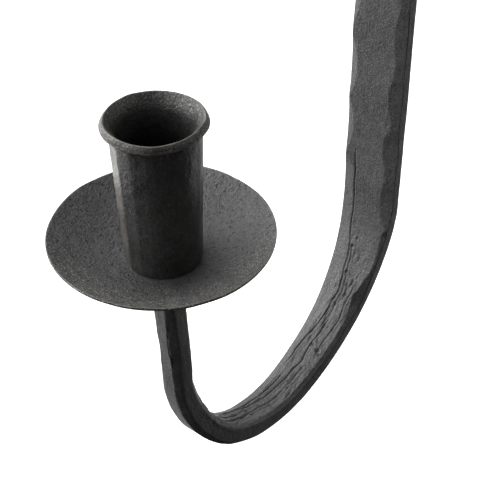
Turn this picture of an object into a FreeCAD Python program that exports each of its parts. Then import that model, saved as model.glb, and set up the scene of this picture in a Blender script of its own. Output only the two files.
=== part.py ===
"""Wall sconce candle holder in blackened forged iron.

One flat bar lies up the wall, sweeps down and forward in a J and is drawn out to a round neck.
A dished drip pan and a rolled candle cup stand on the neck, held by one machine screw that goes
down through the floor of the cup.  Two holes in the bar take wood screws into the wall.

Frame: +Z up, the wall is the plane Y = 0 and the room is on the -Y side.  The origin is on the
wall, midway between the two screw holes.  Millimetres and degrees.
"""
import FreeCAD, Part
import math
import os

import Sketcher
from FreeCAD import Placement, Rotation, Vector

DIMENSIONS = [
    # the bar, from its top end on the wall to the neck under the pan
    ("strap_width", 22.8),
    ("strap_thick", 5.6),
    ("strap_bevel_width", 3.2),
    ("strap_bevel_depth", 0.9),
    ("strap_back_bevel", 0.5),
    ("strap_top", 105.0),
    ("strap_top_corner", 8.0),
    ("shoulder_width", 17.5),
    ("neck_width", 9.6),
    ("neck_lean", 4.2),
    ("upper_bend_radius", 70.5),
    ("upper_bend_angle", 72.0),
    ("lower_bend_radius", 46.4),
    ("lower_bend_angle", 68.4),
    ("front_bend_radius", 69.5),
    # where the cup and pan stand
    ("reach", 121.5),
    ("pan_level", -146.0),
    # drip pan
    ("pan_radius", 36.0),
    ("pan_depth", 9.1),
    ("pan_gauge", 1.3),
    ("pan_seat_radius", 12.8),
    ("pan_curve_radius", 68.6),
    ("screw_clearance_radius", 2.65),
    # candle cup
    ("cup_height", 51.8),
    ("cup_foot_radius", 12.4),
    ("cup_neck_radius", 14.2),
    ("cup_neck_height", 47.2),
    ("lip_radius", 16.1),
    ("lip_height", 50.2),
    ("crest_radius", 14.6),
    ("bore_radius", 11.4),
    ("bore_top", 46.0),
    ("bore_bottom", 22.0),
    ("flare_radius", 6.0),
    ("cup_foot_bore", 10.2),
    ("base_disc_radius", 10.15),
    ("base_disc_thick", 2.0),
    # machine screw through the cup, and its spring washer
    ("screw_radius", 2.5),
    ("screw_length", 16.0),
    ("screw_head_radius", 4.6),
    ("screw_head_height", 3.4),
    ("screw_slot_width", 1.2),
    ("screw_slot_depth", 1.4),
    ("tapped_radius", 2.55),
    ("tapped_depth", 14.0),
    ("washer_inner", 2.6),
    ("washer_outer", 4.4),
    ("washer_thick", 1.2),
    ("washer_gap", 0.8),
    # holes for two No. 10 round-head wood screws
    ("wall_screw_spacing", 170.0),
    ("wall_hole_radius", 2.75),
]
STATIONS_PER_BEND = 9
# shares of the bar's bent length at which its width starts to draw in, passes the shoulder, and
# reaches the neck's size
TAPER_START, SHOULDER, TAPER_END = 0.03, 0.24, 0.75
OCTAGON_CORNER = 1 - 1 / math.sqrt(2)     # a regular octagon's corner, as a share of its width
EDGE_DROP, EDGE_IN = 0.85, 0.52           # slant of the pan's edge, as shares of its gauge
HEAD_SIDE, HEAD_TOP, HEAD_CROWN = 0.55, 0.62, 0.9   # screw head: side, flat top, crown radius
SCREW_CHAMFER = 0.6

doc = FreeCAD.newDocument("wall_sconce")


class Size:
    """A number with the spreadsheet expression that gives it."""

    def __init__(self, value, text):
        self.value = value
        self.text = text

    def __add__(self, other):
        other = as_size(other)
        return Size(self.value + other.value, f"({self.text} + {other.text})")

    def __sub__(self, other):
        other = as_size(other)
        return Size(self.value - other.value, f"({self.text} - {other.text})")

    def __mul__(self, other):
        other = as_size(other)
        return Size(self.value * other.value, f"({self.text} * {other.text})")

    def __truediv__(self, other):
        other = as_size(other)
        return Size(self.value / other.value, f"({self.text} / {other.text})")

    def __neg__(self):
        return Size(-self.value, f"(0 - {self.text})")


def as_size(number):
    return number if isinstance(number, Size) else Size(number, f"{number:.6f}")


def sine(angle):
    return Size(math.sin(math.radians(angle.value)), f"sin({angle.text})")


def cosine(angle):
    return Size(math.cos(math.radians(angle.value)), f"cos({angle.text})")


def between(first, last, share):
    """first at share 0 and before, last at share 1 and beyond."""
    return first + (last - first) * min(max(share, 0.0), 1.0)


def make_sheet():
    sheet = doc.addObject("Spreadsheet::Sheet", "Dims")
    for row, (alias, value) in enumerate(DIMENSIONS, start=1):
        sheet.set(f"A{row}", alias.replace("_", " "))
        sheet.set(f"B{row}", str(value))
        sheet.setAlias(f"B{row}", alias)
    doc.recompute()
    return sheet


SHEET = make_sheet()


def cell(alias):
    return Size(float(SHEET.get(alias)), f"Dims.{alias}")


# ---------------------------------------------------------------- drawing helpers


def new_body(label):
    body = doc.addObject("PartDesign::Body", label)
    body.Label = label
    return body


def bind(target, path, size):
    target.setExpression(path, size.text)


def new_sketch(body, name, role, offset=None, turn_x=None):
    """A sketch on one of the body's origin planes, moved by offset and turned about its X."""
    sketch = body.newObject("Sketcher::SketchObject", name)
    plane = next(f for f in body.Origin.OriginFeatures if f.Role == role)
    sketch.AttachmentSupport = [(plane, "")]
    sketch.MapMode = "FlatFace"
    if offset is not None:
        turn = turn_x.value if turn_x is not None else 0.0
        base = Vector(*[size.value for size in offset])
        sketch.AttachmentOffset = Placement(base, Rotation(Vector(1, 0, 0), turn))
        for axis, size in zip("xyz", offset):
            bind(sketch, f"AttachmentOffset.Base.{axis}", size)
        if turn_x is not None:
            bind(sketch, "AttachmentOffset.Rotation.Angle", turn_x)
    return sketch


def constrain(sketch, kind, where, size):
    index = sketch.addConstraint(Sketcher.Constraint(kind, *where, size.value))
    sketch.setExpression(f"Constraints[{index}]", size.text)


def draw_outline(sketch, corners, arcs=None):
    """A closed outline through the corners, each held to its two sizes.

    arcs maps a side's number to (radius, bulge): bulge is 1 if that side bows to the left of its
    own direction and -1 if it bows to the right.
    """
    arcs = arcs or {}
    points = [Vector(x.value, y.value, 0) for x, y in corners]
    first = sketch.GeometryCount
    starts = []
    for number, start in enumerate(points):
        end = points[(number + 1) % len(points)]
        if number in arcs:
            radius, bulge = arcs[number]
            sketch.addGeometry(arc_between(start, end, radius.value, bulge), False)
            starts.append((2, 1) if bulge > 0 else (1, 2))
        else:
            sketch.addGeometry(Part.LineSegment(start, end), False)
            starts.append((1, 2))
    for number, (x, y) in enumerate(corners):
        here = first + number
        before = first + (number - 1) % len(points)
        start_of_side = starts[number][0]
        end_of_last = starts[(number - 1) % len(points)][1]
        sketch.addConstraint(
            Sketcher.Constraint("Coincident", before, end_of_last, here, start_of_side)
        )
        constrain(sketch, "DistanceX", (-1, 1, here, start_of_side), x)
        constrain(sketch, "DistanceY", (-1, 1, here, start_of_side), y)
        if number in arcs:
            constrain(sketch, "Radius", (here,), arcs[number][0])


def arc_between(start, end, radius, bulge):
    """The short arc from start to end, as FreeCAD stores it: anticlockwise."""
    chord = end - start
    left = Vector(-chord.y, chord.x, 0).normalize()
    middle = (start + end) * 0.5
    sag = radius - math.sqrt(radius**2 - (chord.Length / 2) ** 2)
    centre = middle + left * ((sag - radius) * bulge)
    circle = Part.Circle(centre, Vector(0, 0, 1), radius)
    first, last = (end, start) if bulge > 0 else (start, end)
    low = math.atan2(first.y - centre.y, first.x - centre.x)
    high = math.atan2(last.y - centre.y, last.x - centre.x)
    if high < low:
        high += 2 * math.pi
    return Part.ArcOfCircle(circle, low, high)


def draw_circle(sketch, x, y, radius):
    index = sketch.addGeometry(
        Part.Circle(Vector(x.value, y.value, 0), Vector(0, 0, 1), radius.value), False
    )
    constrain(sketch, "DistanceX", (-1, 1, index, 3), x)
    constrain(sketch, "DistanceY", (-1, 1, index, 3), y)
    constrain(sketch, "Radius", (index,), radius)


def revolve(body, corners, arcs=None):
    """A full turn about the body's Z of an outline in (radius, height)."""
    sketch = new_sketch(body, body.Label + "_profile", "XZ_Plane")
    draw_outline(sketch, corners, arcs)
    turn = body.newObject("PartDesign::Revolution", body.Label + "_turned")
    turn.Profile = sketch
    turn.ReferenceAxis = (sketch, ["V_Axis"])
    turn.Angle = 360.0
    return turn


def cut(body, sketch, length=None, symmetric=False):
    """Pockets the sketch, through everything where no length is given, and tests that it cuts."""
    doc.recompute()
    volume = body.Shape.Volume
    pocket = body.newObject("PartDesign::Pocket", sketch.Label + "_cut")
    pocket.Profile = sketch
    if length is None:
        pocket.Type = "ThroughAll"
    else:
        pocket.Length = length.value
        bind(pocket, "Length", length)
    pocket.Midplane = symmetric
    doc.recompute()
    if not body.Shape.Volume < volume - 0.1:
        raise ValueError(f"{sketch.Label} cuts nothing")
    return pocket


ZERO = as_size(0.0)

# ---------------------------------------------------------------- the forged bar


class BarPath:
    """The bar's centre line, by how far it has turned from straight down the wall."""

    def __init__(self):
        self.radii = [
            cell("upper_bend_radius"),
            cell("lower_bend_radius"),
            cell("front_bend_radius"),
        ]
        self.turns = [
            ZERO,
            cell("upper_bend_angle"),
            cell("upper_bend_angle") + cell("lower_bend_angle"),
            as_size(180.0) - cell("neck_lean"),
        ]
        self.strap_line = cell("strap_thick") / 2
        self.seat_level = cell("pan_level") - cell("pan_depth") - cell("pan_gauge")
        forward, down = ZERO, ZERO
        self.starts = []
        for radius, start, end in zip(self.radii, self.turns, self.turns[1:]):
            self.starts.append((forward, down))
            forward = forward + radius * (cosine(start) - cosine(end))
            down = down + radius * (sine(end) - sine(start))
        neck_forward = cell("reach") - self.strap_line - forward
        self.neck_rise = neck_forward / sine(cell("neck_lean")) * cosine(cell("neck_lean"))
        self.bend_level = self.seat_level - self.neck_rise + down

    def at(self, bend, share):
        """(y, z, turn) at a share of one bend."""
        start, end = self.turns[bend], self.turns[bend + 1]
        turn = start + (end - start) * share
        forward, down = self.starts[bend]
        forward = forward + self.radii[bend] * (cosine(start) - cosine(turn))
        down = down + self.radii[bend] * (sine(turn) - sine(start))
        return -(self.strap_line + forward), self.bend_level - down, turn

    def length_shares(self):
        """Each bend's share of the bent length, with the neck last."""
        turns = [math.radians(turn.value) for turn in self.turns]
        lengths = [
            radius.value * (end - start)
            for radius, start, end in zip(self.radii, turns, turns[1:])
        ]
        lengths.append(self.neck_rise.value / math.cos(math.radians(cell("neck_lean").value)))
        total = sum(lengths)
        return [length / total for length in lengths]


def bar_width(share):
    """Strap width, drawn in quickly to the shoulder and then slowly to the neck."""
    if share < SHOULDER:
        drawn = (share - TAPER_START) / (SHOULDER - TAPER_START)
        return between(cell("strap_width"), cell("shoulder_width"), drawn)
    drawn = (share - SHOULDER) / (TAPER_END - SHOULDER)
    return between(cell("shoulder_width"), cell("neck_width"), drawn)


def bar_section(share):
    """The bar's eight corners as (across, towards the room), at a share of its bent length."""
    taper = share / TAPER_END
    corner = cell("neck_width") * OCTAGON_CORNER
    half_width = bar_width(share) / 2
    half_thick = between(cell("strap_thick"), cell("neck_width"), taper) / 2
    front_in = between(cell("strap_bevel_width"), corner, taper)
    front_down = between(cell("strap_bevel_depth"), corner, taper)
    back = between(cell("strap_back_bevel"), corner, taper)
    right = [
        (half_width - back, -half_thick),
        (half_width, back - half_thick),
        (half_width, half_thick - front_down),
        (half_width - front_in, half_thick),
    ]
    return right + [(-across, out) for across, out in reversed(right)]


def forged_arm():
    body = new_body("forged_arm")
    path = BarPath()
    shares = path.length_shares()

    # the straight strap on the wall, padded up from where the bar starts to bend
    y, z, turn = path.at(0, 0.0)
    foot = new_sketch(body, "strap_section", "XY_Plane", (ZERO, y, z), as_size(180.0))
    draw_outline(foot, bar_section(0.0))
    strap = body.newObject("PartDesign::Pad", "strap")
    strap.Profile = foot
    strap.Reversed = True
    height = cell("strap_top") - z
    strap.Length = height.value
    bind(strap, "Length", height)

    # the bent and tapered length, one hammer-flat step from each section to the next
    sections = []
    for bend in range(len(path.radii)):
        first = 0 if bend == 0 else 1
        for step in range(first, STATIONS_PER_BEND + 1):
            share = step / STATIONS_PER_BEND
            y, z, turn = path.at(bend, share)
            along = sum(shares[:bend]) + shares[bend] * share
            name = f"section_{bend + 1}_{step}"
            sketch = new_sketch(
                body, name, "XY_Plane", (ZERO, y, z), as_size(180.0) - turn
            )
            draw_outline(sketch, bar_section(along))
            sections.append(sketch)
    seat = new_sketch(
        body, "seat_section", "XY_Plane", (ZERO, -cell("reach"), path.seat_level), ZERO
    )
    draw_outline(seat, bar_section(1.0))
    sections.append(seat)
    loft = body.newObject("PartDesign::AdditiveLoft", "swept_arm")
    loft.Profile = sections[0]
    loft.Sections = sections[1:]
    loft.Ruled = True
    doc.recompute()

    cut(body, rounded_top_sketch(body), symmetric=True)
    holes = new_sketch(body, "wall_screw_holes", "XZ_Plane")
    for side in (-0.5, 0.5):
        draw_circle(holes, ZERO, cell("wall_screw_spacing") * side, cell("wall_hole_radius"))
    cut(body, holes, symmetric=True)
    tapped = new_sketch(
        body, "tapped_hole", "XY_Plane", (ZERO, -cell("reach"), path.seat_level), ZERO
    )
    draw_circle(tapped, ZERO, ZERO, cell("tapped_radius"))
    cut(body, tapped, length=cell("tapped_depth"))
    return body


def rounded_top_sketch(body):
    """Waste outside the two rounded corners of the strap's top end."""
    sketch = new_sketch(body, "top_corners", "XZ_Plane")
    half, top, corner = cell("strap_width") / 2, cell("strap_top"), cell("strap_top_corner")
    spare = as_size(1.0)
    for side in (1, -1):
        outline = [
            (half, top - corner),
            (half + spare, top - corner),
            (half + spare, top + spare),
            (half - corner, top + spare),
            (half - corner, top),
        ]
        bulge = 1
        if side < 0:
            outline = [(-x, z) for x, z in outline]
            bulge = -1
        draw_outline(sketch, outline, {4: (corner, bulge)})
    return sketch


# ---------------------------------------------------------------- pan, cup and their screw


def stand_on_neck(body, height):
    """Puts a body that is turned about its own Z on the cup's axis, its zero at that height."""
    body.Placement = Placement(Vector(0, -cell("reach").value, height.value), Rotation())
    bind(body, "Placement.Base.y", -cell("reach"))
    bind(body, "Placement.Base.z", height)


def drip_pan():
    """Dished sheet disc, its edge at height 0 and its flat seat at the bottom."""
    body = new_body("drip_pan")
    floor = -cell("pan_depth")
    under = floor - cell("pan_gauge")
    edge_drop = cell("pan_gauge") * EDGE_DROP
    edge_in = cell("pan_gauge") * EDGE_IN
    revolve(
        body,
        [
            (cell("screw_clearance_radius"), under),
            (cell("pan_seat_radius"), under),
            (cell("pan_radius"), -edge_drop),
            (cell("pan_radius") - edge_in, ZERO),
            (cell("pan_seat_radius"), floor),
            (cell("screw_clearance_radius"), floor),
        ],
        {
            1: (cell("pan_curve_radius") + cell("pan_gauge"), -1),
            3: (cell("pan_curve_radius"), 1),
        },
    )
    stand_on_neck(body, cell("pan_level"))
    return body


def pan_floor():
    return cell("pan_level") - cell("pan_depth")


def candle_cup():
    """Rolled tube with a flared lip and a straight bore, narrowing towards its foot."""
    body = new_body("candle_cup")
    revolve(
        body,
        [
            (cell("cup_foot_bore"), ZERO),
            (cell("cup_foot_radius"), ZERO),
            (cell("cup_neck_radius"), cell("cup_neck_height")),
            (cell("lip_radius"), cell("lip_height")),
            (cell("crest_radius"), cell("cup_height")),
            (cell("bore_radius"), cell("bore_top")),
            (cell("bore_radius"), cell("bore_bottom")),
        ],
        {4: (cell("flare_radius"), -1)},
    )
    stand_on_neck(body, pan_floor())
    return body


def cup_base_disc():
    body = new_body("cup_base_disc")
    revolve(
        body,
        [
            (cell("screw_clearance_radius"), ZERO),
            (cell("base_disc_radius"), ZERO),
            (cell("base_disc_radius"), cell("base_disc_thick")),
            (cell("screw_clearance_radius"), cell("base_disc_thick")),
        ],
    )
    stand_on_neck(body, pan_floor())
    return body


def cup_spring_washer():
    """Split ring; the slot in it is as wide as washer_gap."""
    body = new_body("cup_spring_washer")
    revolve(
        body,
        [
            (cell("washer_inner"), ZERO),
            (cell("washer_outer"), ZERO),
            (cell("washer_outer"), cell("washer_thick")),
            (cell("washer_inner"), cell("washer_thick")),
        ],
    )
    split = new_sketch(body, "washer_split", "XY_Plane")
    half = cell("washer_gap") / 2
    outside = cell("washer_outer") + 1.0
    draw_outline(split, [(ZERO, -half), (outside, -half), (outside, half), (ZERO, half)])
    cut(body, split, symmetric=True)
    stand_on_neck(body, pan_floor() + cell("base_disc_thick"))
    return body


def cup_screw():
    """M5 pan-head screw, slotted, its head's underside at height 0."""
    body = new_body("cup_screw")
    chamfer = as_size(SCREW_CHAMFER)
    revolve(
        body,
        [
            (ZERO, -cell("screw_length")),
            (cell("screw_radius") - chamfer, -cell("screw_length")),
            (cell("screw_radius"), chamfer - cell("screw_length")),
            (cell("screw_radius"), ZERO),
            (cell("screw_head_radius"), ZERO),
            (cell("screw_head_radius"), cell("screw_head_height") * HEAD_SIDE),
            (cell("screw_head_radius") * HEAD_TOP, cell("screw_head_height")),
            (ZERO, cell("screw_head_height")),
        ],
        {5: (cell("screw_head_height") * HEAD_CROWN, -1)},
    )
    cut_slot(
        body,
        cell("screw_head_radius"),
        cell("screw_head_height"),
        cell("screw_slot_width"),
        cell("screw_slot_depth"),
    )
    height = pan_floor() + cell("base_disc_thick") + cell("washer_thick")
    stand_on_neck(body, height)
    return body


def cut_slot(body, head_radius, head_height, width, depth):
    """A screwdriver slot right across a head whose top is at head_height."""
    slot = new_sketch(body, body.Label + "_slot", "XY_Plane", (ZERO, ZERO, head_height), ZERO)
    half, outside = width / 2, head_radius + 1.0
    corners = [(-outside, -half), (outside, -half), (outside, half), (-outside, half)]
    draw_outline(slot, corners)
    cut(body, slot, length=depth)


def check_and_export(bodies):
    doc.recompute()
    failed = [o.Label for o in doc.Objects if {"Invalid", "Error"} & set(o.State)]
    if failed:
        raise ValueError(f"these objects failed: {failed}")
    os.makedirs("parts", exist_ok=True)
    for body in bodies:
        shape = body.Shape
        if shape.isNull() or not shape.isValid() or not shape.Solids:
            raise ValueError(f"{body.Label} has no valid solid")
    for body in bodies:
        body.Shape.exportStep(f"parts/{body.Label}.step")
        box = body.Shape.optimalBoundingBox()
        print(
            f"{body.Label:20s} {body.Shape.Volume:9.1f} mm3",
            f"x {box.XMin:7.2f} {box.XMax:7.2f}",
            f"y {box.YMin:8.2f} {box.YMax:7.2f}",
            f"z {box.ZMin:8.2f} {box.ZMax:8.2f}",
        )


check_and_export(
    [
        forged_arm(),
        drip_pan(),
        candle_cup(),
        cup_base_disc(),
        cup_spring_washer(),
        cup_screw(),
    ]
)
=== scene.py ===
"""Visual model of a forged-iron wall sconce for one candle.

The arm, the drip pan and the candle cup are rebuilt here with their hammer facets, folds, pits and
uneven edges.  The base disc, the washer and the screw inside the cup keep their shapes.  Lengths in
the modelling code are millimetres in the row frame and become metres when a mesh is made.
"""

import math

import bmesh
import bpy
import numpy as np
from mathutils import Matrix, Vector


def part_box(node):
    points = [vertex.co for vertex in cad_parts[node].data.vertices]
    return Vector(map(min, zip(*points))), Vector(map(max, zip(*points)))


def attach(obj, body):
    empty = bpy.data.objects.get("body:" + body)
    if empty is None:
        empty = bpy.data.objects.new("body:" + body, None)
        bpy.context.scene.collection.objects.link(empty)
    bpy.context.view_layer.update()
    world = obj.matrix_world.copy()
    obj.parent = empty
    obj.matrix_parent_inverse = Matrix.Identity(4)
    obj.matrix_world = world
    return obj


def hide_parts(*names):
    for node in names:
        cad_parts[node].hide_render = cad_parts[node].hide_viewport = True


MM = 0.001
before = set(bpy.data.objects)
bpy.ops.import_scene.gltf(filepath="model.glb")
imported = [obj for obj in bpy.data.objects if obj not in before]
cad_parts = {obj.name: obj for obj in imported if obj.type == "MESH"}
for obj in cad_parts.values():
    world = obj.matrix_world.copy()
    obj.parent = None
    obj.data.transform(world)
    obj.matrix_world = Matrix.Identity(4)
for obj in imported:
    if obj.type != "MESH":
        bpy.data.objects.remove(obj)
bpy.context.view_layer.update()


def node_box(node):
    """A node's box in millimetres."""
    low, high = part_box(node)
    return np.array(low) / MM, np.array(high) / MM


ARM_LOW, ARM_HIGH = node_box("forged_arm")
PAN_LOW, PAN_HIGH = node_box("drip_pan")
CUP_LOW, CUP_HIGH = node_box("candle_cup")
REACH = -(CUP_LOW[1] + CUP_HIGH[1]) / 2
PAN_LEVEL = PAN_HIGH[2]
SEAT_LEVEL = PAN_LOW[2]
PAN_GAUGE = 1.3
# how far round from square-on the object is looked at
VIEW_TURN = math.radians(40.0)
# where the side nearest the camera lies, as an angle about the cup's axis
NEAR_SIDE = VIEW_TURN - math.pi / 2


# ---------------------------------------------------------------- shared shaping tools


LATTICE_PRIMES = (73856093, 19349663, 83492791)
SEED_PRIME, FIRST_STIR, SECOND_STIR = 2654435761, 1274126177, 2246822519
WORD, LOW_BITS = 0xFFFFFFFF, 0xFFFFFF


def hashed(ix, iy, iz, seed):
    """A number from -1 to 1 for each whole-number lattice point."""
    px, py, pz = LATTICE_PRIMES
    h = ix * px ^ iy * py ^ iz * pz ^ (seed * SEED_PRIME & WORD)
    h = (h ^ (h >> 13)) * FIRST_STIR & WORD
    h = (h ^ (h >> 16)) * SECOND_STIR & WORD
    return (h & LOW_BITS) / (LOW_BITS / 2) - 1.0


def noise(points, size, seed):
    """Smooth value noise from -1 to 1, with features about size millimetres across."""
    q = points / size
    cell = np.floor(q).astype(np.int64)
    part = q - cell
    part = part * part * (3 - 2 * part)
    total = np.zeros(points.shape[:-1])
    for dx in (0, 1):
        for dy in (0, 1):
            for dz in (0, 1):
                weight = np.ones(points.shape[:-1])
                for axis, step in enumerate((dx, dy, dz)):
                    weight = weight * (part[..., axis] if step else 1 - part[..., axis])
                value = hashed(cell[..., 0] + dx, cell[..., 1] + dy, cell[..., 2] + dz, seed)
                total += weight * value
    return total


def fractal(points, size, seed, octaves=3):
    """Noise with ever finer and fainter noise added to it."""
    total = np.zeros(points.shape[:-1])
    for octave in range(octaves):
        total += noise(points, size / 2**octave, seed + octave) / 2**octave
    return total


def smooth_step(x, low, high):
    """Rises from 0 at low to 1 at high, level at both ends."""
    t = np.clip((x - low) / (high - low), 0.0, 1.0)
    return t * t * (3 - 2 * t)


def ramp(x, points):
    """Linear in between (x, value) points and flat beyond them."""
    return np.interp(x, [p[0] for p in points], [p[1] for p in points])


def line_distance(x, y, line):
    """Signed distance to a polyline (positive to its left) and the share of its length there."""
    best = np.full(x.shape, 1e9)
    side = np.zeros(x.shape)
    share = np.zeros(x.shape)
    line = np.array(line, float)
    steps = np.diff(line, axis=0)
    lengths = np.hypot(steps[:, 0], steps[:, 1])
    walked = np.concatenate([[0], np.cumsum(lengths)])
    for start, step, length, before in zip(line, steps, lengths, walked):
        t = ((x - start[0]) * step[0] + (y - start[1]) * step[1]) / length**2
        t = np.clip(t, 0, 1)
        dx = x - start[0] - t * step[0]
        dy = y - start[1] - t * step[1]
        d = np.hypot(dx, dy)
        near = d < best
        best = np.where(near, d, best)
        side = np.where(near, np.sign(step[0] * dy - step[1] * dx), side)
        share = np.where(near, (before + t * length) / walked[-1], share)
    return best * np.where(side == 0, 1, side), share


def turned_points(radius, height, columns):
    """Rows of points round the z axis, one row for each radius and height."""
    angles = np.linspace(0, 2 * math.pi, columns, endpoint=False)
    return np.stack(
        [
            radius[:, None] * np.cos(angles),
            radius[:, None] * np.sin(angles),
            height[:, None] + 0 * angles,
        ],
        axis=-1,
    )


def grid_object(name, points, close_rows=False, caps=(False, False), marks=None):
    """A mesh from rows of points; every row is a closed loop.

    close_rows joins the last row to the first; caps closes the first or last row with a fan.
    """
    rows, cols = points.shape[:2]
    vertices = points.reshape(-1, 3)
    index = np.arange(rows * cols).reshape(rows, cols)
    if close_rows:
        here, there = index, np.roll(index, -1, axis=0)
    else:
        here, there = index[:-1], index[1:]
    quads = np.stack(
        [here, np.roll(here, -1, axis=1), np.roll(there, -1, axis=1), there], axis=-1
    ).reshape(-1, 4)
    faces = quads.tolist()
    for wanted, row in zip(caps, (0, rows - 1)):
        if wanted:
            centre = len(vertices)
            vertices = np.vstack([vertices, vertices[index[row]].mean(axis=0)])
            loop = index[row]
            turned = loop if row else loop[::-1]
            faces += [[int(a), int(b), centre] for a, b in zip(turned, np.roll(turned, -1))]
    mesh = bpy.data.meshes.new(name)
    mesh.from_pydata((vertices * MM).tolist(), [], faces)
    mesh.polygons.foreach_set("use_smooth", [True] * len(mesh.polygons))
    for label, values in (marks or {}).items():
        layer = mesh.attributes.new(label, "FLOAT", "POINT")
        flat = np.zeros(len(vertices))
        flat[: rows * cols] = values.reshape(-1)
        layer.data.foreach_set("value", flat.astype(np.float32))
    mesh.update()
    obj = bpy.data.objects.new(name, mesh)
    bpy.context.scene.collection.objects.link(obj)
    return obj


# ---------------------------------------------------------------- the bar's centre line

STRAP_THICK = 5.6
STRAP_WIDTH = ARM_HIGH[0] - ARM_LOW[0]
SHOULDER_WIDTH = 17.5
NECK_WIDTH = 9.6
STRAP_LINE = STRAP_THICK / 2
# the J: (radius, turn in degrees) of each arc on the way down
BENDS = ((70.5, 72.0), (46.4, 68.4), (69.5, 35.4))
NECK_LEAN = 4.2
LINE_STEP = 0.25


class CentreLine:
    """Where the bar's middle is, at each length from its top end."""

    def __init__(self):
        turns = np.radians(np.cumsum([0.0] + [turn for _, turn in BENDS]))
        forward, down = 0.0, 0.0
        arcs = []
        for (radius, _), start, end in zip(BENDS, turns, turns[1:]):
            arcs.append((forward, down, radius, start))
            forward += radius * (math.cos(start) - math.cos(end))
            down += radius * (math.sin(end) - math.sin(start))
        lean = math.radians(NECK_LEAN)
        rise = (REACH - STRAP_LINE - forward) / math.tan(lean)
        bend_level = SEAT_LEVEL - rise + down
        self.straight = ARM_HIGH[2] - bend_level
        out, height, turn = [0.0], [ARM_HIGH[2]], [0.0]
        length = [0.0]
        spans = [(self.straight, None)] + [(r * math.radians(t), r) for r, t in BENDS]
        spans.append((rise / math.cos(lean), None))
        for span, radius in spans:
            count = max(2, int(span / LINE_STEP))
            part = span / count
            for _ in range(count):
                swing = 0.0 if radius is None else part / radius
                middle = turn[-1] + swing / 2
                out.append(out[-1] + part * math.sin(middle))
                height.append(height[-1] - part * math.cos(middle))
                turn.append(turn[-1] + swing)
                length.append(length[-1] + part)
        self.total = length[-1]
        self.table = [np.array(column) for column in (length, out, height, turn)]

    def at(self, s):
        """The middle's y and z, and the bar's turn from straight down, at each length s."""
        length, out, height, turn = self.table
        return (
            -STRAP_LINE - np.interp(s, length, out),
            np.interp(s, length, height),
            np.interp(s, length, turn),
        )


LINE = CentreLine()


# ---------------------------------------------------------------- the forged arm

TOP_CORNER = 8.0
# how the section changes, as (share of the bent length, size)
WIDTH_STOPS = [(0.03, STRAP_WIDTH), (0.24, SHOULDER_WIDTH), (0.75, NECK_WIDTH)]
THICK_STOPS = [(0, STRAP_THICK), (0.75, NECK_WIDTH)]
CORNER_STOPS = [(0, 0.35), (0.3, 0.7), (0.75, 2.3), (1, 2.6)]
BACK_STEPS, SIDE_STEPS, FRONT_STEPS, CORNER_STEPS = 26, 10, 66, 5


def section_loops(s):
    """Rounded oblong section of the bar as (across, out) at each length s.

    The loop starts at the back's left corner and runs along the back, the right side, the front
    and the left side, with the closest points on the front, which faces the room.
    """
    share = np.clip((s - LINE.straight) / (LINE.total - LINE.straight), 0, 1)
    width = ramp(share, WIDTH_STOPS)
    thick = ramp(share, THICK_STOPS)
    top = np.clip(s, 0.01, TOP_CORNER)
    width = width - 2 * (TOP_CORNER - np.sqrt(TOP_CORNER**2 - (TOP_CORNER - top) ** 2))
    corner = ramp(share, CORNER_STOPS)
    across, out = [], []
    sides = ((-1, -1, BACK_STEPS), (1, -1, SIDE_STEPS), (1, 1, FRONT_STEPS), (-1, 1, SIDE_STEPS))
    for number, (side, face, steps) in enumerate(sides):
        straight = np.linspace(0, 1, steps, endpoint=False)[None]
        next_side, next_face, _ = sides[(number + 1) % 4]
        start = (side * (width / 2 - corner), face * (thick / 2 - corner))
        end = (next_side * (width / 2 - corner), next_face * (thick / 2 - corner))
        turn = math.radians(90 * number - 90)
        push = (math.cos(turn), math.sin(turn))
        for axis, line in enumerate((across, out)):
            first, last = start[axis][:, None], end[axis][:, None]
            line.append(first + (last - first) * straight + push[axis] * corner[:, None])
        bend = turn + np.linspace(0, math.pi / 2, CORNER_STEPS, endpoint=False)[None]
        across.append(end[0][:, None] + corner[:, None] * np.cos(bend))
        out.append(end[1][:, None] + corner[:, None] * np.sin(bend))
    return np.concatenate(across, axis=1), np.concatenate(out, axis=1)


# how far from its centre a hammer blow can mark the bar, as a share of its length
BLOW_REACH = 0.85


def cut_facet(across, out, s, centre, angle, depth, length, slope=0.0):
    """One hammer blow: flattens the section square to angle, deepest at centre along the bar."""
    rows = np.nonzero(np.abs(s - centre) < BLOW_REACH * length)[0]
    if len(rows) < 2:
        return
    ca, sa = math.cos(math.radians(angle)), math.sin(math.radians(angle))
    high = across[rows] * ca + out[rows] * sa
    away = s[rows] - centre
    own = np.maximum(high.max(axis=1), 0)
    limit = own - depth + 4 * depth * (away / length) ** 2 + slope * away
    excess = np.maximum(high - limit[:, None], 0)
    across[rows] -= excess * ca
    out[rows] -= excess * sa


# where each bevel meets the front face, as (length down the bar, across), and how it faces, as
# (length down the bar, degrees from the right-hand side)
LEFT_BEVEL = [(288, -12.0), (296, -6.6), (300, -6.1), (317, -5.5), (327, -4.3), (340, -2.4),
              (352, -1.3), (363, -2.1), (373, -3.8), (382, -4.8), (430, -4.2), (470, -3.4),
              (548, -3.0)]
RIGHT_BEVEL = [(314, 12.0), (320, 8.8), (336, 9.0), (344, 7.3), (350, 5.6), (361, 7.1),
               (370, 6.8), (400, 5.9), (440, 5.2), (470, 4.2), (548, 3.9)]
LEFT_BEVEL_FACING = [(300, 98), (350, 99), (400, 106), (450, 118), (548, 120)]
RIGHT_BEVEL_FACING = [(314, 64), (350, 56), (400, 52), (470, 54), (548, 56)]
# hammered hollows along the strap's front edges: (middle, width, length)
RIGHT_SCALLOPS = [(232, 4.4, 34), (257, 5.2, 29), (281, 5.8, 27), (304, 4.8, 31)]
LEFT_SCALLOPS = [(214, 3.2, 38), (250, 2.7, 27), (276, 2.6, 26)]
SCALLOP_TILT = 15.0
# from the first listed hollow to the next one up, and how near the top end they stop
LOWEST_GAP, TOP_MARGIN = 24, 6


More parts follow.
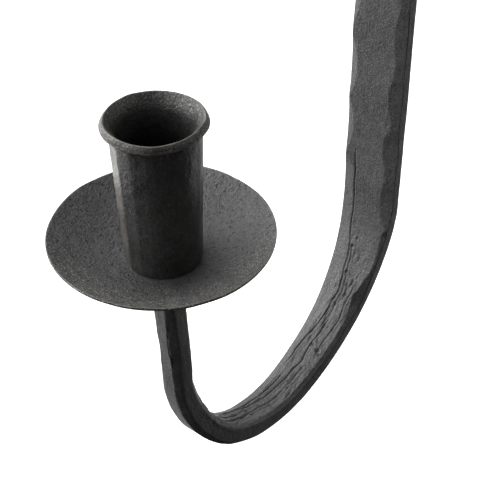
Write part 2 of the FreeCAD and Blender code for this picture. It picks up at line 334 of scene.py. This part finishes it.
def cut_bevel(across, out, s, angles, edge):
    """Flattens one front corner down to a line that runs along the bar's front face."""
    angle = np.radians(ramp(s, angles))[:, None]
    place = ramp(s, edge)[:, None]
    front = out.max(axis=1)[:, None]
    ca, sa = np.cos(angle), np.sin(angle)
    excess = np.maximum(across * ca + out * sa - (place * ca + front * sa), 0)
    across -= excess * ca
    out -= excess * sa


def cut_scallops(across, out, s, scallops, side, rng):
    """Hollows along one front edge: the listed ones, and more of them further up the strap."""
    scallops = list(scallops)
    place = scallops[0][0] - LOWEST_GAP
    while place > TOP_MARGIN:
        scallops.append((place, rng.uniform(1.8, 5.0), rng.uniform(18, 27)))
        place -= rng.uniform(19, 27)
    for middle, width, length in scallops:
        depth = width * math.sin(math.radians(SCALLOP_TILT))
        cut_facet(across, out, s, middle, 90 - side * SCALLOP_TILT, depth, length)


PLANISH_DEPTH = 0.12
NECK_CORNER_DEPTH, NECK_FACE_DEPTH = 0.5, 0.10


def forge_facets(across, out, s, rng):
    """All hammer blows on the bar, from the top of the strap to the neck."""
    flat_end = LINE.straight + 30
    edge_end = LINE.straight + 40
    # light planishing over the front and back faces
    for face, depth_scale in ((90, 1.0), (270, 0.5)):
        place = 3.0
        while place < flat_end:
            length = rng.uniform(14, 30)
            tilt = face + rng.normal(0, 1.2)
            cut_facet(across, out, s, place, tilt, PLANISH_DEPTH * depth_scale, length)
            place += length * rng.uniform(0.4, 0.7)
    cut_scallops(across, out, s, RIGHT_SCALLOPS, 1, rng)
    cut_scallops(across, out, s, LEFT_SCALLOPS, -1, rng)
    cut_bevel(across, out, s, LEFT_BEVEL_FACING, LEFT_BEVEL)
    cut_bevel(across, out, s, RIGHT_BEVEL_FACING, RIGHT_BEVEL)
    # edges taken off the sides and the back
    for angle, mean_depth in ((0, 0.05), (180, 0.05), (228, 0.14), (312, 0.14)):
        place = 2.0
        while place < edge_end:
            length = rng.uniform(16, 30)
            depth = mean_depth * rng.uniform(0.5, 1.5)
            cut_facet(across, out, s, place, angle + rng.uniform(-5, 5), depth, length)
            place += length * rng.uniform(0.5, 0.8)
    # the drawn-out taper and neck, worked round on eight sides
    for angle in range(0, 360, 45):
        corner = angle % 90 == 45
        place = LINE.straight + (70 if corner else 25)
        if angle in (45, 135):
            place = LINE.straight + 150
        while place < LINE.total - 2:
            length = rng.uniform(16, 34)
            depth = (NECK_CORNER_DEPTH if corner else NECK_FACE_DEPTH) * rng.uniform(0.5, 1.4)
            depth *= ramp(place, [(380, 0.5), (480, 1.2)])
            tilt = angle + rng.uniform(-6, 6)
            cut_facet(across, out, s, place, tilt, depth, length, rng.uniform(-0.006, 0.006))
            place += length * rng.uniform(0.45, 0.75)


CREASES = [
    # (side, depth, half width, lip height, points as (length down the bar, across))
    (1, 0.50, 0.25, 0.05, [(282, -6.9), (290, -6.5), (300, -6.1), (317, -5.5), (327, -4.3),
                           (340, -2.4), (352, -1.3), (363, -2.1), (373, -3.8), (382, -4.9),
                           (396, -5.0)]),
    (1, 0.22, 0.26, 0.05, [(330, -2.6), (341, -0.6), (352, 0.4), (362, 0.0), (372, -1.8)]),
    (1, 0.35, 0.28, 0.08, [(360, 0.9), (368, 0.3), (377, -0.3), (385, 0.1), (392, -0.6),
                           (400, -1.1), (411, -1.4), (424, -2.9), (434, -2.6)]),
    (1, 0.28, 0.28, 0.08, [(392, -3.0), (404, -3.2), (419, -3.7), (431, -3.4), (446, -2.4)]),
    (1, 0.25, 0.28, 0.06, [(384, 2.6), (396, 1.8), (406, 2.2), (418, 0.9), (430, 0.4)]),
    (1, 0.95, 0.50, 0.20, [(424, 1.0), (433, 1.7), (441, 2.5), (449, 2.9), (458, 2.6)]),
    (1, 0.55, 0.40, 0.12, [(428, -0.9), (438, -0.4), (448, 0.4), (458, 0.8)]),
    (1, 0.30, 0.26, 0.05, [(344, 4.6), (352, 4.0), (362, 4.8), (372, 3.6), (384, 4.4)]),
    (-1, 0.32, 0.22, 0.12, [(500, 3.0), (504, 2.8), (508, 2.3), (513, 2.0), (519, 2.6),
                            (525, 3.1)]),
]
PITS = [
    # (length down the bar, across, radius, depth) on the side that faces the room
    (326.4, -0.9, 0.55, 0.35), (330.4, -2.1, 0.7, 0.45), (341.9, -1.1, 0.65, 0.4),
    (332.4, -0.1, 0.4, 0.25), (376.4, 0.3, 0.8, 0.4), (377.8, 3.6, 0.9, 0.35),
    (236.0, 1.2, 0.35, 0.2), (238.5, 0.4, 0.3, 0.2), (351.0, 2.4, 0.6, 0.3),
    (388.0, 2.2, 0.8, 0.35), (399.0, 2.9, 0.6, 0.3), (412.0, 3.3, 0.7, 0.3),
]


CREASE_WANDER = 0.35
# how much shade is painted into the bottom of each crease and each pit
CREASE_SHADE = PIT_SHADE = 0.8


def arm_relief(across, out, s, base):
    """Height to add along the surface normal, and the shade painted into each crease, pit and chip.
    """
    height = np.zeros(across.shape)
    dark = np.zeros(across.shape)
    along = np.repeat(s[:, None], across.shape[1], axis=1)
    wander = CREASE_WANDER * noise(np.stack([along, across * 0, out * 0], -1), 5.0, 21)
    for side, depth, width, lip, line in CREASES:
        distance, share = line_distance(along, across + wander, line)
        facing = smooth_step(out * side, 0.4, 1.6)
        fade = smooth_step(share, 0.0, 0.12) * smooth_step(1 - share, 0.0, 0.15) * facing
        groove = np.exp(-((distance / width) ** 2))
        shoulder = np.exp(-(((distance - 2.2 * width) / (1.6 * width)) ** 2))
        height += fade * (lip * shoulder - depth * groove)
        # painted shade along the bottom of the crease
        dark = np.maximum(dark, CREASE_SHADE * fade * groove)
    for place, a, radius, depth in PITS:
        d = np.hypot(along - place, across - a) / radius
        front = smooth_step(out, 0.4, 1.6)
        pit = np.exp(-(d**2)) * front
        ridge = 0.35 * np.exp(-((d - 1.7) ** 2) * 4) * front
        height += depth * (ridge - pit)
        # painted shade in the hollow of the pit
        dark = np.maximum(dark, PIT_SHADE * pit)
    # grain drawn out along the bar, and flakes and chips where it was worked hardest
    worked = smooth_step(along, 318, 345) * (1 - smooth_step(along, 455, 485))
    inner = smooth_step(out, 0.5, 2.5)
    lengthwise = np.stack([across, out, along * 0.14], -1)
    flakes = np.stack([across, out, along * 0.45], -1)
    middle = 1 - smooth_step(np.abs(across - 1.0), 4.6, 6.4)
    grain = noise(lengthwise, 1.5, 31) + 0.6 * noise(lengthwise, 0.8, 32)
    height += (0.012 + 0.065 * worked * inner) * grain
    flake = smooth_step(fractal(flakes, 3.0, 35, 3), 0.05, 0.16)
    chip = smooth_step(noise(flakes, 1.1, 77), 0.50, 0.66)
    height += worked * inner * middle * (0.15 * flake - 0.26 * chip)
    # painted shade in the chips
    dark = np.maximum(dark, worked * inner * middle * 0.4 * chip)
    height += 0.02 * fractal(base, 1.6, 41, 2)
    height += 0.05 * noise(base, 9.0, 43)
    return height, dark


# (length down the bar, space from one row of the mesh to the next)
ROW_SPACING = [(0, 0.16), (8, 1.2), (205, 1.2), (222, 0.65), (548, 0.62)]


def arm_rows():
    """Lengths of the mesh rows: closest where the bar is bent and tapered."""
    places = [0.0]
    while places[-1] < LINE.total:
        places.append(places[-1] + float(ramp(places[-1], ROW_SPACING)))
    places[-1] = LINE.total
    return np.array(places)


def normals_of(points):
    """Unit normals of a grid whose rows are closed loops."""
    along = np.gradient(points, axis=0)
    around = np.roll(points, -1, axis=1) - np.roll(points, 1, axis=1)
    normal = np.cross(along, around)
    return normal / np.maximum(np.linalg.norm(normal, axis=-1, keepdims=True), 1e-9)


def arm_points(across, out, s):
    """Places a section's (across, out) points at each length s of the bar."""
    y, z, turn = LINE.at(s)
    return np.stack(
        [
            across,
            y[:, None] - out * np.cos(turn)[:, None],
            z[:, None] + out * np.sin(turn)[:, None],
        ],
        axis=-1,
    )


ARM_SEED = 11
# the closely spaced rows at the top end get little relief
END_ROWS, END_RELIEF = 6, 0.2


def make_arm():
    """The strap, the J and the neck, with every hammer mark, crease and pit."""
    rng = np.random.default_rng(ARM_SEED)
    s = arm_rows()
    across, out = section_loops(s)
    forge_facets(across, out, s, rng)
    points = arm_points(across, out, s)
    normal = normals_of(points)
    middle = arm_points(np.zeros_like(across), np.zeros_like(out), s)
    outward = np.sign((normal * (points - middle)).sum(axis=-1, keepdims=True).mean())
    height, dark = arm_relief(across, out, s, points)
    height[:END_ROWS] *= END_RELIEF
    points = points + outward * normal * height[..., None]
    points[..., 1] = np.minimum(points[..., 1], 0.0)
    # the mark carries the shade painted into creases, pits and chips
    arm = grid_object("arm", points, caps=(True, True), marks={"painted_shade": dark})
    drill_wall_holes(arm)
    return arm


HOLE_SPACING = 170.0
HOLE_RADIUS = 2.75
HOLE_CHAMFER = 0.3
DRILL_COLUMNS = 64
# how far the drill stands proud of the strap's faces
DRILL_SPARE = 1.0
# edges this near a hole, and turning more than this, are shaded as sharp
RIM_REACH = 1.5
RIM_TURN = math.radians(28)


def drill_wall_holes(arm):
    """Cuts the two screw holes through the strap, each with its front edge broken."""
    wide = HOLE_RADIUS + HOLE_CHAMFER + DRILL_SPARE
    radius = np.array([HOLE_RADIUS, HOLE_RADIUS, wide])
    reach = np.array([-DRILL_SPARE, STRAP_THICK - HOLE_CHAMFER, STRAP_THICK + DRILL_SPARE])
    round_hole = turned_points(radius, reach, DRILL_COLUMNS)
    for side in (-1, 1):
        points = np.stack(
            [
                round_hole[..., 0],
                -round_hole[..., 2],
                round_hole[..., 1] + side * HOLE_SPACING / 2,
            ],
            axis=-1,
        )
        drill = grid_object("drill", points, caps=(True, True))
        cut = arm.modifiers.new("hole", "BOOLEAN")
        cut.operation = "DIFFERENCE"
        cut.solver = "EXACT"
        cut.object = drill
        graph = bpy.context.evaluated_depsgraph_get()
        bored = bpy.data.meshes.new_from_object(
            arm.evaluated_get(graph), preserve_all_data_layers=True, depsgraph=graph
        )
        arm.modifiers.clear()
        arm.data = bored
        bpy.data.objects.remove(drill)
    sharpen_hole_rims(arm.data)


def sharpen_hole_rims(mesh):
    """Keeps the shading crisp where each hole meets the faces of the strap."""
    work = bmesh.new()
    work.from_mesh(mesh)
    for edge in work.edges:
        middle = (edge.verts[0].co + edge.verts[1].co) / 2 / MM
        off_axis = math.hypot(middle.x, abs(middle.z) - HOLE_SPACING / 2)
        if off_axis < HOLE_RADIUS + RIM_REACH and len(edge.link_faces) == 2:
            edge.smooth = edge.calc_face_angle(0.0) < RIM_TURN
    work.to_mesh(mesh)
    work.free()


# ---------------------------------------------------------------- drip pan and cup


PAN_SEAT, PAN_RIM, PAN_DEPTH, PAN_CURVE = 12.8, 35.3, 9.1, 68.6
# the rolled edge: radii, and how far each is below the upper surface
EDGE_RADII = np.array([35.6, 35.85, 36.0, 36.05, 36.0, 35.8, 35.4])
EDGE_DROPS = np.array([0.0, 0.06, 0.25, 0.55, 0.85, 1.12, 1.25])
PAN_COLUMNS = 420


def pan_surface(radius):
    """Height of the dish's upper surface above its flat seat, by radius."""
    t = np.clip((radius - PAN_SEAT) / (PAN_RIM - PAN_SEAT), 0, 1.1)
    chord = math.hypot(PAN_RIM - PAN_SEAT, PAN_DEPTH)
    sag = chord**2 / (8 * PAN_CURVE)
    return PAN_DEPTH * t - 4 * sag * t * (1 - t)


def stand_on_axis(points, floor):
    """Moves points from the origin to the cup's axis, at the height floor."""
    return points + np.array([0.0, -REACH, floor])


def make_pan():
    """The dished sheet, a little wavy, with its edge painted pale as wear and highlight, and pale
    dust towards it that thickens into painted glints on the near side.
    """
    top = np.concatenate([np.linspace(2.7, 12.0, 10), np.linspace(12.6, 35.2, 48)])
    top_height = pan_surface(top)
    edge_height = pan_surface(EDGE_RADII) - EDGE_DROPS
    under = np.concatenate([np.linspace(35.2, 12.6, 30), np.linspace(11.5, 2.7, 6)])
    under_height = pan_surface(under) - PAN_GAUGE
    radius = np.concatenate([top, EDGE_RADII, under])
    height = np.concatenate([top_height, edge_height, under_height])
    points = turned_points(radius, height, PAN_COLUMNS)
    reach = np.hypot(points[..., 0], points[..., 1])
    outer = smooth_step(reach, 14, 36)
    flat = points * np.array([1.0, 1.0, 0.0])
    wave = 0.34 * noise(flat, 19.0, 3) + 0.16 * noise(flat, 8.0, 4)
    points[..., 2] += outer * wave
    round_edge = flat / np.maximum(reach, 1)[..., None] * 36
    shrink = 1 - outer * (0.001 + 0.004 * noise(round_edge, 16, 9))
    points[..., 0] *= shrink
    points[..., 1] *= shrink
    grain = smooth_step(reach, 13, 16)
    points[..., 2] += grain * (0.035 * fractal(points, 1.6, 15, 2) + 0.05 * noise(points, 4.5, 16))
    # the rolled edge is painted pale: edge wear, and a painted highlight along it
    on_edge = np.exp(-(((radius[:, None] - 35.8) / 0.25) ** 2))
    wear_and_highlight = on_edge * (0.45 + 0.7 * noise(points, 1.0, 17))
    wear_and_highlight = wear_and_highlight * (np.arange(len(radius)) < len(top) + 2)[:, None]
    # pale specks: a little dust all over, thickening into painted glints on the side nearest the
    # camera
    around = np.arctan2(points[..., 1], points[..., 0]) - NEAR_SIDE
    facing = 0.5 + 0.5 * np.cos(around - 0.1)
    dust_and_glint = smooth_step(reach, 16, 35) * (0.15 + 2.0 * facing**3)
    dust_and_glint = dust_and_glint * (0.85 + 0.5 * noise(flat, 7.0, 18))
    return grid_object(
        "pan", stand_on_axis(points, SEAT_LEVEL + PAN_GAUGE), close_rows=True,
        marks={"wear_and_highlight": wear_and_highlight, "dust_and_glint": np.clip(dust_and_glint + 0.12, 0, 1.8)},
    )


# the cup's wall as (radius, height)
CUP_OUTSIDE = [(12.4, 0.0), (12.5, 0.8), (14.2, 47.0), (14.3, 48.0)]
CUP_LIP = [(15.7, 49.2), (16.15, 49.55), (16.2, 49.9), (15.75, 50.9), (15.1, 51.75), (14.8, 51.8)]
CUP_INSIDE = [(14.2, 51.3), (13.2, 50.2), (12.3, 48.8), (11.7, 47.2), (11.4, 45.0), (11.3, 40.0),
              (11.3, 22.0), (10.2, 0.0)]


def even_points(corners, spacing):
    """Points at nearly equal steps along a line through corners."""
    corners = np.array(corners)
    lengths = np.concatenate([[0], np.cumsum(np.hypot(*np.diff(corners, axis=0).T))])
    places = np.linspace(0, lengths[-1], int(lengths[-1] / spacing) + 1)
    return np.stack([np.interp(places, lengths, corners[:, k]) for k in (0, 1)], -1)


def cup_profile():
    """(radius, height) down the cup's wall, closest on the lip, and the number outside."""
    outside = even_points(CUP_OUTSIDE, 0.42)
    lip = even_points([CUP_OUTSIDE[-1]] + CUP_LIP + [CUP_INSIDE[0]], 0.2)[1:]
    inside = even_points(CUP_INSIDE[:5], 0.35)[1:]
    bore = even_points(CUP_INSIDE[4:], 1.2)[1:]
    return np.concatenate([outside, lip, inside, bore]), len(outside)


CUP_FLATS = [
    # (direction from the side nearest the camera, height, depth, how tall), degrees and mm
    (-70, 20, 0.95, 150), (-42, 22, 0.42, 110), (-20, 14, 0.20, 70), (-48, 44, 0.30, 12),
    (10, 34, 0.08, 60), (60, 33, 0.40, 24), (80, 14, 0.20, 40), (-112, 30, 0.3, 60),
]
CUP_SEED = 5
CUP_COLUMNS = 320
BACK_BLOWS = 26
# where round the cup the band of painted light runs down its outside
LIT_BAND_SIDE = math.radians(-76)


def smooth_least(a, b, blend):
    """The lesser of two surfaces, rounded where they cross."""
    near = np.maximum(blend - np.abs(a - b), 0) / blend
    return np.minimum(a, b) - near * near * blend / 4


def make_cup():
    """The candle cup: hammered wall, uneven flared lip, shade painted deep in the bore, highlights
    painted on the lip edges and light painted down one side.
    """
    line, count = cup_profile()
    points = turned_points(line[:, 0], line[:, 1], CUP_COLUMNS)
    angle = np.arctan2(points[..., 1], points[..., 0])
    rows = np.repeat(np.arange(len(line))[:, None], points.shape[1], axis=1)
    outside = rows < count
    height = points[..., 2].copy()
    rng = np.random.default_rng(CUP_SEED)
    reach = np.hypot(points[..., 0], points[..., 1])
    flats = [(NEAR_SIDE + math.radians(a), h, d, t) for a, h, d, t in CUP_FLATS]
    for _ in range(BACK_BLOWS):
        flats.append(
            (
                NEAR_SIDE + rng.uniform(1.9, 4.3),
                rng.uniform(-2, 46),
                rng.uniform(0.12, 0.34),
                rng.uniform(14, 40),
            )
        )
    radius_before = reach
    kept = reach
    wobble = 0.16 * noise(points * np.array([1.0, 1.0, 0.6]), 6.5, 67)
    for centre, level, depth, tall in flats:
        turn = np.angle(np.exp(1j * (angle - centre)))
        limit = reach - depth + 4 * depth * ((height - level) / tall) ** 2
        flat = (limit + wobble) / np.maximum(np.cos(turn), 0.3)
        kept = np.where(np.abs(turn) < 1.0, smooth_least(kept, flat, 0.22), kept)
    body = outside * smooth_step(48.4 - height, 0, 1.5)
    shrink = 1 - body * (reach - kept) / np.maximum(reach, 1)
    points[..., 0] *= shrink
    points[..., 1] *= shrink
    ring = np.stack([np.cos(angle) * 14, np.sin(angle) * 14, 0 * angle], -1)
    flare = smooth_step(height, 45, 50)
    out_of_round = flare * (0.22 * noise(ring, 13.0, 61) + 0.16 * noise(ring, 4.6, 62))
    points[..., 0] += np.cos(angle) * out_of_round
    points[..., 1] += np.sin(angle) * out_of_round
    points[..., 2] += flare * (0.16 * noise(ring, 12.0, 63) + 0.14 * noise(ring, 4.2, 64))
    # the mouth is squeezed a little along the line of sight and leans away from it
    away = np.array([-math.sin(VIEW_TURN), math.cos(VIEW_TURN)])
    side = np.array([math.cos(VIEW_TURN), math.sin(VIEW_TURN)])
    depth = points[..., 0] * away[0] + points[..., 1] * away[1]
    points[..., :2] -= (flare * 0.008 * depth)[..., None] * away
    points[..., 2] -= flare * 0.012 * depth
    points[..., :2] += ((points[..., 2] / 51.0 - 0.5) * -0.5)[..., None] * side
    rough = 0.03 * fractal(points, 2.2, 71, 3) + 0.05 * noise(points, 6.0, 72)
    rough = rough + 0.05 * outside * fractal(points * np.array([1, 1, 0.5]), 1.5, 73, 2)
    reach = np.maximum(np.hypot(points[..., 0], points[..., 1]), 1)
    points[..., 0] *= 1 + rough / reach
    points[..., 1] *= 1 + rough / reach
    # shade painted into the bore, darker the deeper it goes
    bore_shade = (1 - outside) * (1 - smooth_step(height, 30, 47)) * 0.7
    wear_and_highlight = np.zeros(height.shape)
    # the lip's two edges are painted pale: edge wear, and a painted highlight along them
    for ring_radius, level in ((16.15, 49.7), (14.9, 51.8)):
        apart = np.hypot(radius_before - ring_radius, height - level)
        wear_and_highlight = np.maximum(wear_and_highlight, np.exp(-((apart / 0.32) ** 2)))
    wear_and_highlight *= 0.55 + 0.45 * noise(ring, 2.2, 75)
    # the outside gets a band of painted light down its left side, as the camera sees it, laid as
    # pale specks
    off_band = np.abs(np.angle(np.exp(1j * (angle - NEAR_SIDE - LIT_BAND_SIDE))))
    lit_band = outside * (1 - smooth_step(off_band, 0.18, 0.52))
    lit_band = lit_band * (0.75 + 0.6 * noise(points, 3.0, 76))
    wear_and_highlight = np.maximum(wear_and_highlight, 0.4 * lit_band)
    # the pale specks are dust, thicker towards the lip, and painted light along the band
    return grid_object(
        "cup", stand_on_axis(points, SEAT_LEVEL + PAN_GAUGE), close_rows=True,
        marks={"painted_shade": bore_shade, "wear_and_highlight": wear_and_highlight, "dust_and_glint": 0.35 + 0.65 * flare + 3.0 * lit_band},
    )


# ---------------------------------------------------------------- materials


class Nodes:
    """Short calls for building one material's node tree."""

    def __init__(self, name):
        self.material = bpy.data.materials.new(name)
        self.material.use_nodes = True
        self.tree = self.material.node_tree
        self.tree.nodes.clear()

    def add(self, kind, settings=None, **inputs):
        """A node with its settings made and its inputs set or linked."""
        node = self.tree.nodes.new(kind)
        for key, value in (settings or {}).items():
            setattr(node, key, value)
        for key, value in inputs.items():
            socket = node.inputs[key.replace("_", " ")]
            if isinstance(value, bpy.types.NodeSocket):
                self.tree.links.new(value, socket)
            else:
                socket.default_value = value
        return node

    def noise(self, scale, detail=3.0, roughness=0.55):
        return self.add(
            "ShaderNodeTexNoise",
            Vector=self.place,
            Scale=scale,
            Detail=detail,
            Roughness=roughness,
        ).outputs["Fac"]

    def mark(self, label):
        """A mark that the mesh carries at its points."""
        return self.add("ShaderNodeAttribute", {"attribute_name": label}).outputs["Fac"]

    def ramp(self, value, stops):
        node = self.add("ShaderNodeValToRGB", Fac=value)
        elements = node.color_ramp.elements
        while len(elements) < len(stops):
            elements.new(0.5)
        for element, (place, colour) in zip(elements, stops):
            element.position = place
            element.color = (*colour, 1.0)
        return node.outputs["Color"]

    def grey_ramp(self, value, stops):
        return self.ramp(value, [(place, (level, level, level)) for place, level in stops])

    def mix(self, share, first, second, blend="MIX"):
        node = self.add("ShaderNodeMix", {"data_type": "RGBA", "blend_type": blend})
        for socket, value in (
            (node.inputs[0], share),
            (node.inputs[6], first),
            (node.inputs[7], second),
        ):
            if isinstance(value, bpy.types.NodeSocket):
                self.tree.links.new(value, socket)
            else:
                socket.default_value = value
        return node.outputs[2]

    def start(self):
        """Patterns are laid out in the object's own coordinates."""
        self.place = self.add("ShaderNodeTexCoord").outputs["Object"]

    def bump(self, height, strength, distance, normal=None):
        inputs = {"Height": height, "Strength": strength, "Distance": distance}
        if normal is not None:
            inputs["Normal"] = normal
        return self.add("ShaderNodeBump", **inputs).outputs["Normal"]

    def finish(self, **inputs):
        """The shader with these inputs, and the finished material."""
        shader = self.add("ShaderNodeBsdfPrincipled")
        for key, value in inputs.items():
            socket = shader.inputs[key.replace("_", " ")]
            if isinstance(value, bpy.types.NodeSocket):
                self.tree.links.new(value, socket)
            else:
                socket.default_value = value
        self.add("ShaderNodeOutputMaterial", Surface=shader.outputs["BSDF"])
        return self.material


PALE_SPECK = (0.40, 0.38, 0.34, 1.0)
PIT_COLOUR = (0.012, 0.012, 0.013, 1.0)
# painted shade for creases, pits, chips and the bore
PAINTED_SHADE_COLOUR = (0.004, 0.004, 0.0045, 1.0)
# edge wear with painted highlights, and painted light
WEAR_AND_HIGHLIGHT_COLOUR = (0.30, 0.27, 0.23, 1.0)


def iron_material(name, dark, light, tint, roughness, speckle=0.0, painted_shade=False, wear_and_highlight=False,
                  grain=1.0, metallic=0.25, pitting=0.3):
    """Blackened, waxed iron: cloudy tone, fine scale, and pale specks of dust, which on the pan and
    cup also stand for painted glints.

    The two flags say whether the mesh carries a mark of shade painted into creases, pits, chips and
    the bore, and a mark of edge wear with painted highlights and painted light; the mark of pale
    specks goes with the second.
    """
    n = Nodes(name)
    n.start()
    cloud = n.noise(38.0, 4.0)
    streak = n.noise(190.0, 5.0, 0.6)
    fine = n.noise(1300.0, 3.0, 0.65)
    dust = n.noise(1900.0, 1.0, 0.5)
    colour = n.ramp(cloud, [(0.36, dark), (0.66, light)])
    colour = n.mix(n.grey_ramp(streak, [(0.45, 0.0), (0.72, 0.5)]), colour, (*tint, 1.0))
    if speckle:
        specks = n.grey_ramp(dust, [(0.57, 0.0), (0.65, speckle)])
        # where the mesh carries it, the specks follow a mark that is part dust, part painted glint
        if wear_and_highlight:
            specks = n.mix(1.0, specks, n.mark("dust_and_glint"), "MULTIPLY")
        colour = n.mix(specks, colour, PALE_SPECK)
    pits = n.grey_ramp(n.noise(900.0, 2.0), [(0.34, pitting), (0.44, 0.0)])
    colour = n.mix(pits, colour, PIT_COLOUR)
    # painted shade in creases, pits, chips and the deep bore
    if painted_shade:
        colour = n.mix(n.mark("painted_shade"), colour, PAINTED_SHADE_COLOUR)
    # edge wear with painted highlights, and the cup's band of painted light
    if wear_and_highlight:
        colour = n.mix(n.mark("wear_and_highlight"), colour, WEAR_AND_HIGHLIGHT_COLOUR)
    rough = n.grey_ramp(streak, [(0.3, roughness - 0.07), (0.7, roughness + 0.1)])
    normal = n.bump(n.noise(320.0, 4.0, 0.6), 0.6 * grain, 0.0010)
    normal = n.bump(fine, 0.8 * grain, 0.0006, normal)
    return n.finish(Base_Color=colour, Roughness=rough, Normal=normal, Metallic=metallic)


# ---------------------------------------------------------------- build


def assign(obj, material):
    """Makes this the object's only material."""
    obj.data.materials.clear()
    obj.data.materials.append(material)


def build_object():
    """The three rebuilt pieces, and the looks of all six."""
    arm = make_arm()
    pan = make_pan()
    cup = make_cup()
    for piece, node, slot in (
        (arm, "forged_arm", "forged_iron"),
        (pan, "drip_pan", "sheet_iron"),
        (cup, "candle_cup", "cup_iron"),
    ):
        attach(piece, "root")
        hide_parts(node)
    assign(
        arm,
        iron_material("forged_iron_look", (0.078, 0.077, 0.079), (0.108, 0.107, 0.110),
                      (0.14, 0.14, 0.148), 0.44, speckle=0.25, painted_shade=True, grain=0.5),
    )
    assign(
        pan,
        iron_material("pan_iron_look", (0.074, 0.074, 0.073), (0.112, 0.112, 0.115),
                      (0.14, 0.142, 0.150), 0.42, speckle=0.95, wear_and_highlight=True, grain=1.0, pitting=0.7),
    )
    assign(
        cup,
        iron_material("cup_iron_look", (0.050, 0.050, 0.048), (0.082, 0.082, 0.082),
                      (0.12, 0.121, 0.124), 0.36, speckle=0.40, painted_shade=True, wear_and_highlight=True,
                      grain=0.6, metallic=0.5),
    )
    steel = iron_material("screw_steel_look", (0.10, 0.10, 0.104), (0.14, 0.14, 0.144),
                          (0.2, 0.2, 0.2), 0.38)
    for node in ("cup_base_disc", "cup_spring_washer", "cup_screw"):
        assign(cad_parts[node], steel)


# ---------------------------------------------------------------- light, floor, camera


def from_view(right, away, up):
    """A direction given as seen from the camera's side, in the row frame."""
    return Vector(
        (
            right * math.cos(VIEW_TURN) - away * math.sin(VIEW_TURN),
            right * math.sin(VIEW_TURN) + away * math.cos(VIEW_TURN),
            up,
        )
    )


# the floor's half width and its height, in metres
FLOOR_HALF, FLOOR_LEVEL = 80.0, -0.8
WHITE = (1.0, 1.0, 1.0, 1.0)


def make_stage():
    """A plain pale floor that lights nothing, and the studio's light."""
    data = bpy.data.meshes.new("floor")
    corners = ((-1, -1), (1, -1), (1, 1), (-1, 1))
    data.from_pydata(
        [(x * FLOOR_HALF, y * FLOOR_HALF, FLOOR_LEVEL) for x, y in corners], [], [(0, 1, 2, 3)]
    )
    floor = bpy.data.objects.new("floor", data)
    bpy.context.scene.collection.objects.link(floor)
    pale = Nodes("pale_floor").finish(
        Base_Color=(0.9, 0.9, 0.9, 1.0), Roughness=0.9, Emission_Color=WHITE, Emission_Strength=0.9
    )
    assign(floor, pale)
    floor.visible_diffuse = False
    floor.visible_glossy = False

    world = bpy.data.worlds.new("studio")
    world.use_nodes = True
    bpy.context.scene.world = world
    light_world(world.node_tree)


STUDIO_LIGHTS = (
    # (turn to the right of straight away from the camera, height, strength), degrees
    (-80, 38, 38),
    (-60, 8, 32),
    (-95, 8, 24),
    (-45, -30, 34),
    (28, -25, 22),
    (-20, 34, 25),
    (90, 8, 5),
    (80, 38, 9),
    (-120, 38, 14),
    (0, 75, 4),
    (170, -30, 1),
)
# cosine of the angle from a patch's middle at which its light has faded out
PATCH_EDGE = 0.7
# strength at which the room looks white
ROOM_TONE = 19.0


def light_world(tree):
    """Soft patches of white left of and beyond the object; a dark room behind the camera."""
    background = tree.nodes["Background"]
    place = tree.nodes.new("ShaderNodeTexCoord").outputs["Generated"]
    total = None
    for turn, height, strength in STUDIO_LIGHTS:
        turn, height = math.radians(turn), math.radians(height)
        direction = from_view(
            math.sin(turn) * math.cos(height), math.cos(turn) * math.cos(height), math.sin(height)
        )
        dot = tree.nodes.new("ShaderNodeVectorMath")
        dot.operation = "DOT_PRODUCT"
        tree.links.new(place, dot.inputs[0])
        dot.inputs[1].default_value = direction
        spread = tree.nodes.new("ShaderNodeMapRange")
        spread.interpolation_type = "SMOOTHSTEP"
        tree.links.new(dot.outputs["Value"], spread.inputs["Value"])
        spread.inputs["From Min"].default_value = PATCH_EDGE
        spread.inputs["From Max"].default_value = 1.0
        spread.inputs["To Max"].default_value = strength
        if total is None:
            total = spread.outputs["Result"]
            continue
        join = tree.nodes.new("ShaderNodeMath")
        join.operation = "ADD"
        tree.links.new(total, join.inputs[0])
        tree.links.new(spread.outputs["Result"], join.inputs[1])
        total = join.outputs["Value"]
    # looking past the floor, the room is as pale as the floor
    seen = tree.nodes.new("ShaderNodeMix")
    path = tree.nodes.new("ShaderNodeLightPath")
    tree.links.new(path.outputs["Is Camera Ray"], seen.inputs["Factor"])
    tree.links.new(total, seen.inputs["A"])
    seen.inputs["B"].default_value = ROOM_TONE
    tree.links.new(seen.outputs["Result"], background.inputs["Strength"])


SENSOR_WIDTH, LENS = 36.0, 95.6
CAMERA_PITCH, CAMERA_ROLL = math.radians(39.29), math.radians(-0.41)
# right of, away from and above the pan's middle, as seen from the camera's side
CAMERA_PLACE = (24.5, -309.3, 249.5)


def make_camera():
    """A camera that looks down on the cup from its front right."""
    data = bpy.data.cameras.new("camera")
    data.sensor_width = SENSOR_WIDTH
    data.lens = LENS
    camera = bpy.data.objects.new("camera", data)
    pitch, roll = CAMERA_PITCH, CAMERA_ROLL
    forward = from_view(0.0, math.cos(pitch), -math.sin(pitch))
    level_right = from_view(1.0, 0.0, 0.0)
    level_up = level_right.cross(forward)
    right = level_right * math.cos(roll) + level_up * math.sin(roll)
    up = level_up * math.cos(roll) - level_right * math.sin(roll)
    pan_middle = Vector((0.0, -REACH, PAN_LEVEL)) * MM
    place = pan_middle + from_view(*(length * MM for length in CAMERA_PLACE))
    camera.matrix_world = Matrix.Translation(place) @ Matrix(
        (right, up, -forward)
    ).transposed().to_4x4()
    bpy.context.scene.collection.objects.link(camera)
    bpy.context.scene.camera = camera


build_object()
make_stage()
make_camera()
bpy.context.scene.view_settings.view_transform = "Standard"
